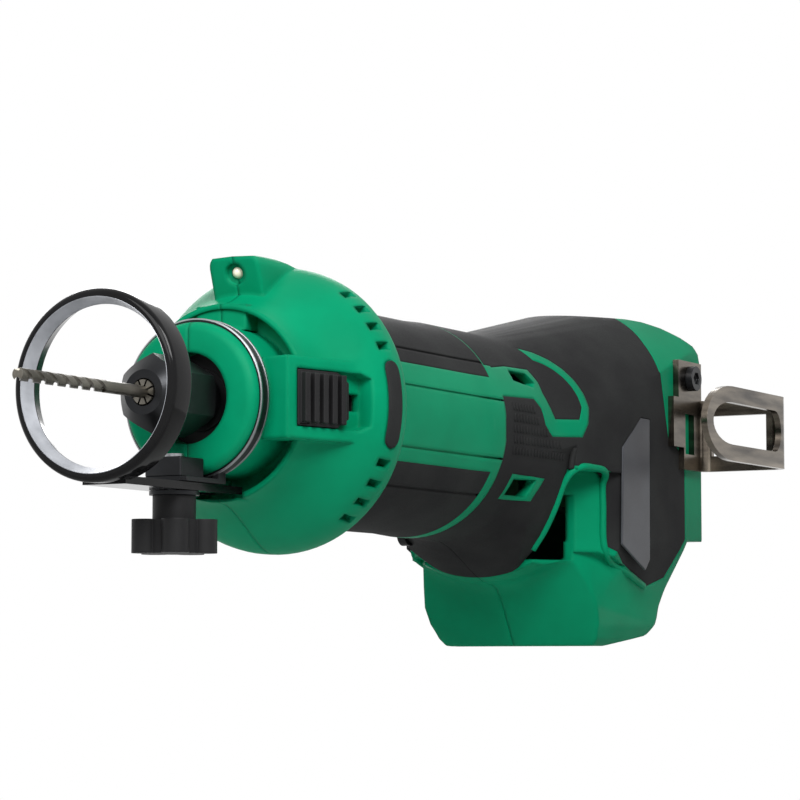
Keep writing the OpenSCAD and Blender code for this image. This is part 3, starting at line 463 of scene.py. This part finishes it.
for side in SIDES:
    bm = merged(side + "_barrel_grip")
    for height in PAD_GROOVES:
        for z in (height - GROOVE_WIDTH / 2, height + GROOVE_WIDTH / 2):
            geometry = bm.verts[:] + bm.edges[:] + bm.faces[:]
            bmesh.ops.bisect_plane(bm, geom=geometry, plane_co=at(0, 0, z), plane_no=(0, 0, 1))
        strip = groove_strip(bm, height)
        bmesh.ops.inset_region(
            bm, faces=strip, thickness=GROOVE_WALL * MM, depth=-GROOVE_DEPTH * MM, use_boundary=True,
            use_even_offset=True
        )
        print(side, "pad groove at", height, "faces", len(strip))
    rolled(side + "_barrel_grip", "casing", "grip_rubber", black_rubber, 0.4, bm=bm)

# %% [markdown]
# Small upright ribs on the neck keep the hand from slipping. They stand in rows below the green
# trim. A ray from the side finds the rubber under each rib, and a small block with rolled edges
# is set there, square to the surface.

# %% Grip ribs on the neck
RIB_SIZE = (0.8, 2.3, 0.7)
RIB_ROLL = 0.2
RIB_PITCH = 1.9
# height of each row in the tool's millimetres, and where it starts and ends
RIB_ROWS = {6.2: (126, 140), 3.0: (126, 143), -0.2: (126, 147), -3.4: (126, 156), -6.6: (126, 160)}
# a ray starts this far from the middle, outside the casing
RAY_START = 80


def rib_places():
    """The (x, z) place of each rib, row by row."""
    places = []
    for z, (start, end) in RIB_ROWS.items():
        count = int((end - start) / RIB_PITCH) + 1
        places += [(start + i * RIB_PITCH, z) for i in range(count)]
    return places


def side_skin(side):
    """A tree of the faces of one half of the casing and its rubber, for rays from the side."""
    bm = merged(side + "_rear_grip")
    bm.from_mesh(frame["nodes"][side + "_housing"].data)
    tree = BVHTree.FromBMesh(bm)
    bm.free()
    return tree


for side, sign in SIDES.items():
    skin = side_skin(side)
    size = Matrix.Diagonal(Vector(RIB_SIZE) * MM).to_4x4()
    bm = bmesh.new()
    for x, z in rib_places():
        spot, normal = skin.ray_cast(at(x, sign * RAY_START, z), (0, -sign, 0))[:2]
        turn = normal.to_track_quat("Z", "Y").to_matrix().to_4x4()
        bmesh.ops.create_cube(bm, size=1, matrix=Matrix.Translation(spot) @ turn @ size)
    bmesh.ops.bevel(
        bm, geom=bm.edges[:], offset=RIB_ROLL * MM, affect="EDGES", segments=2, profile=0.5, material=-1,
        offset_type="OFFSET", clamp_overlap=True
    )
    shown(bm, side + "_grip_ribs", "casing", "grip_rubber", black_rubber)
    print(side, "grip ribs", len(rib_places()))

# %% [markdown]
# Rounded lips on a moulding are beads along a path. A smooth curve is laid through a few places,
# rings of points are set square to it, and each ring is bridged to the next.

# %% Beads along a path
BEAD_STEPS = 6
BEAD_SIDES = 12


def smooth_path(points):
    """The points of a curve through the given points, by the Catmull-Rom formula."""
    ends = [points[0] * 2 - points[1], *points, points[-1] * 2 - points[-2]]
    curve = []
    for a, b, c, d in zip(ends, ends[1:], ends[2:], ends[3:]):
        for i in range(BEAD_STEPS):
            t = i / BEAD_STEPS
            slope = (c - a) * t
            bend = (a * 2 - b * 5 + c * 4 - d) * t**2
            sway = (b * 3 - a - c * 3 + d) * t**3
            curve.append((b * 2 + slope + bend + sway) / 2)
    return curve + [points[-1]]


def bead(points, radius):
    """A round bead of a radius in millimetres along a smooth path through the points."""
    bm = bmesh.new()
    curve = smooth_path(points)
    last = len(curve) - 1
    loop = None
    for i, spot in enumerate(curve):
        along = curve[min(i + 1, last)] - curve[max(i - 1, 0)]
        turn = along.to_track_quat("Z", "Y").to_matrix().to_4x4()
        ring = bmesh.ops.create_circle(
            bm, cap_ends=i in (0, last), segments=BEAD_SIDES, radius=radius * MM,
            matrix=Matrix.Translation(spot) @ turn
        )["verts"]
        edges = [e for e in bm.edges if e.verts[0] in ring and e.verts[1] in ring]
        if loop:
            bmesh.ops.bridge_loops(bm, edges=loop + edges)
        loop = edges
    bmesh.ops.recalc_face_normals(bm, faces=bm.faces)
    return bm


print("each bead has", BEAD_SIDES, "sides and", BEAD_STEPS, "rings from place to place")

# %% [markdown]
# A rounded green lip runs round the recess of each side vent and on below the rubber, half sunk
# in the casing. A shorter bead of rubber closes the corner above it, where the neck runs into the
# block.

# %% Lips of the side vents
LIP_RADIUS = 1.1
CORNER_RADIUS = 1.0
# paths in the tool's millimetres, with y as a distance from the middle
LIP_PATH = (
    (162.4, 18.9, -34), (162.4, 23.1, -28), (162.4, 26.7, -21), (162.6, 29.3, -14.5), (163.4, 31.8, -10.8),
    (166, 34, -9.2), (172, 35.1, -9.2), (177, 35.7, -9.6), (180.6, 34.9, -11), (182.2, 33.1, -14),
    (182.4, 33.1, -21), (182.4, 33.1, -30), (183.8, 33.4, -34.5), (190, 32.6, -37.6), (200, 33.4, -40.6),
    (214, 32, -44),
)
CORNER_PATH = ((162.8, 33.2, -3.6), (162.8, 32.3, -6.5), (162.8, 31.8, -10))

for side, sign in SIDES.items():
    lip = [at(x, sign * y, z) for x, y, z in LIP_PATH]
    shown(bead(lip, LIP_RADIUS), side + "_vent_lip", "casing", "casing_plastic", green_nylon)
    corner = [at(x, sign * y, z) for x, y, z in CORNER_PATH]
    shown(bead(corner, CORNER_RADIUS), side + "_neck_corner", "casing", "grip_rubber", black_rubber)
    print(side, "vent lip of", len(lip), "points from", [round(v, 4) for v in lip[0]])

# %% [markdown]
# The guide ring is enamelled. A pale strip inside its front edge is painted highlight, standing
# for the bright reflection on the ring's inner bevel. The strip is drawn as a profile of four
# points and spun round the spindle axis. The two edges of the clamp band are bare and bright,
# and each is spun as a thin wire.

# %% Painted highlight on the guide ring's bevel, and edges of the clamp band
SPIN_STEPS = 128
# profiles as (x, radius) in the tool's millimetres, the wire's x from its own middle
RING_BEVEL = ((-42.9, 22.0), (-39.2, 20.5), (-39.1, 20.7), (-42.8, 22.3))
BAND_WIRE = ((-0.35, 20.8), (0, 20.6), (0.35, 20.8), (0.25, 21.2), (-0.25, 21.2))
BAND_EDGES = {"front": 2.9, "rear": 6.1}


def spun(profile):
    """A closed profile of (x, radius) points in millimetres, spun round the spindle axis."""
    bm = bmesh.new()
    corners = [bm.verts.new(at(x, 0, r)) for x, r in profile]
    edges = [bm.edges.new((a, b)) for a, b in zip(corners, corners[1:] + corners[:1])]
    bmesh.ops.spin(
        bm, geom=corners + edges, cent=nose, axis=(1, 0, 0), angle=2 * math.pi, steps=SPIN_STEPS,
        use_merge=True
    )
    bmesh.ops.remove_doubles(bm, verts=bm.verts, dist=MERGE)
    bmesh.ops.recalc_face_normals(bm, faces=bm.faces)
    return bm


# pale strip of painted highlight inside the guide ring's front edge
strips = [shown(spun(RING_BEVEL), "guide_ring_bevel", "depth_guide", "plain_steel", bevel_painted_highlight)]
for name, middle in BAND_EDGES.items():
    wire = spun([(middle + x, r) for x, r in BAND_WIRE])
    strips.append(shown(wire, "band_" + name + "_edge", "casing", "plain_steel", plain_steel))
print("spun strips", [strip.name for strip in strips])

# %% [markdown]
# The guide, its clamp, the collet nut, the controls, the hook and the bit keep their CAD shape
# with rolled edges. The knob's lobes get the widest roll, because fingers turn them.

# %% Nose, guide and controls
rolled("depth_guide", "depth_guide", "guide_enamel", black_enamel, 0.4)
rolled("clamp_band", "casing", "dark_steel", dark_steel, 0.2)
rolled("clamp_nut", "casing", "plain_steel", dark_steel, 0.4)
rolled("clamp_knob", "clamp_knob", "black_plastic", black_nylon, 0.9, 3)
rolled("collet_nut", "rotating", "dark_steel", dark_steel, 0.3)
rolled("switch_slider", "switch_slider", "black_plastic", black_nylon, 0.3)
rolled("lock_button", "lock_button", "black_plastic", black_nylon, 0.5)
rolled("belt_hook", "casing", "hook_steel", hook_steel, 0.4)
rolled("hook_screw", "casing", "dark_steel", dark_steel, 0.5)
rolled("cutting_bit", "rotating", "bit_steel", bit_steel, 0.05, 1)

# %% [markdown]
# What is left keeps its CAD solid and only takes a better finish. The front bearing is a sealed
# one, so a black seal is what shows in the nose.

# %% Finishes on the other CAD solids
plain = {
    "housing_screws": dark_steel, "front_bearing": black_nylon, "rear_bearing": plain_steel,
    "stator_core": laminations, "stator_windings": copper, "control_module": board,
    "battery_terminals": black_nylon, "switch_body": black_nylon, "led_lens": lens, "led_board": board,
    "spindle": dark_steel, "rotor": laminations, "fan": black_nylon, "collet": bit_steel,
    "clamp_stud": plain_steel, "clamp_washer": dark_steel,
}
for node, material in plain.items():
    slots = frame["nodes"][node].data.materials
    slots.clear()
    slots.append(material)
print("CAD solids with new finishes", len(plain))
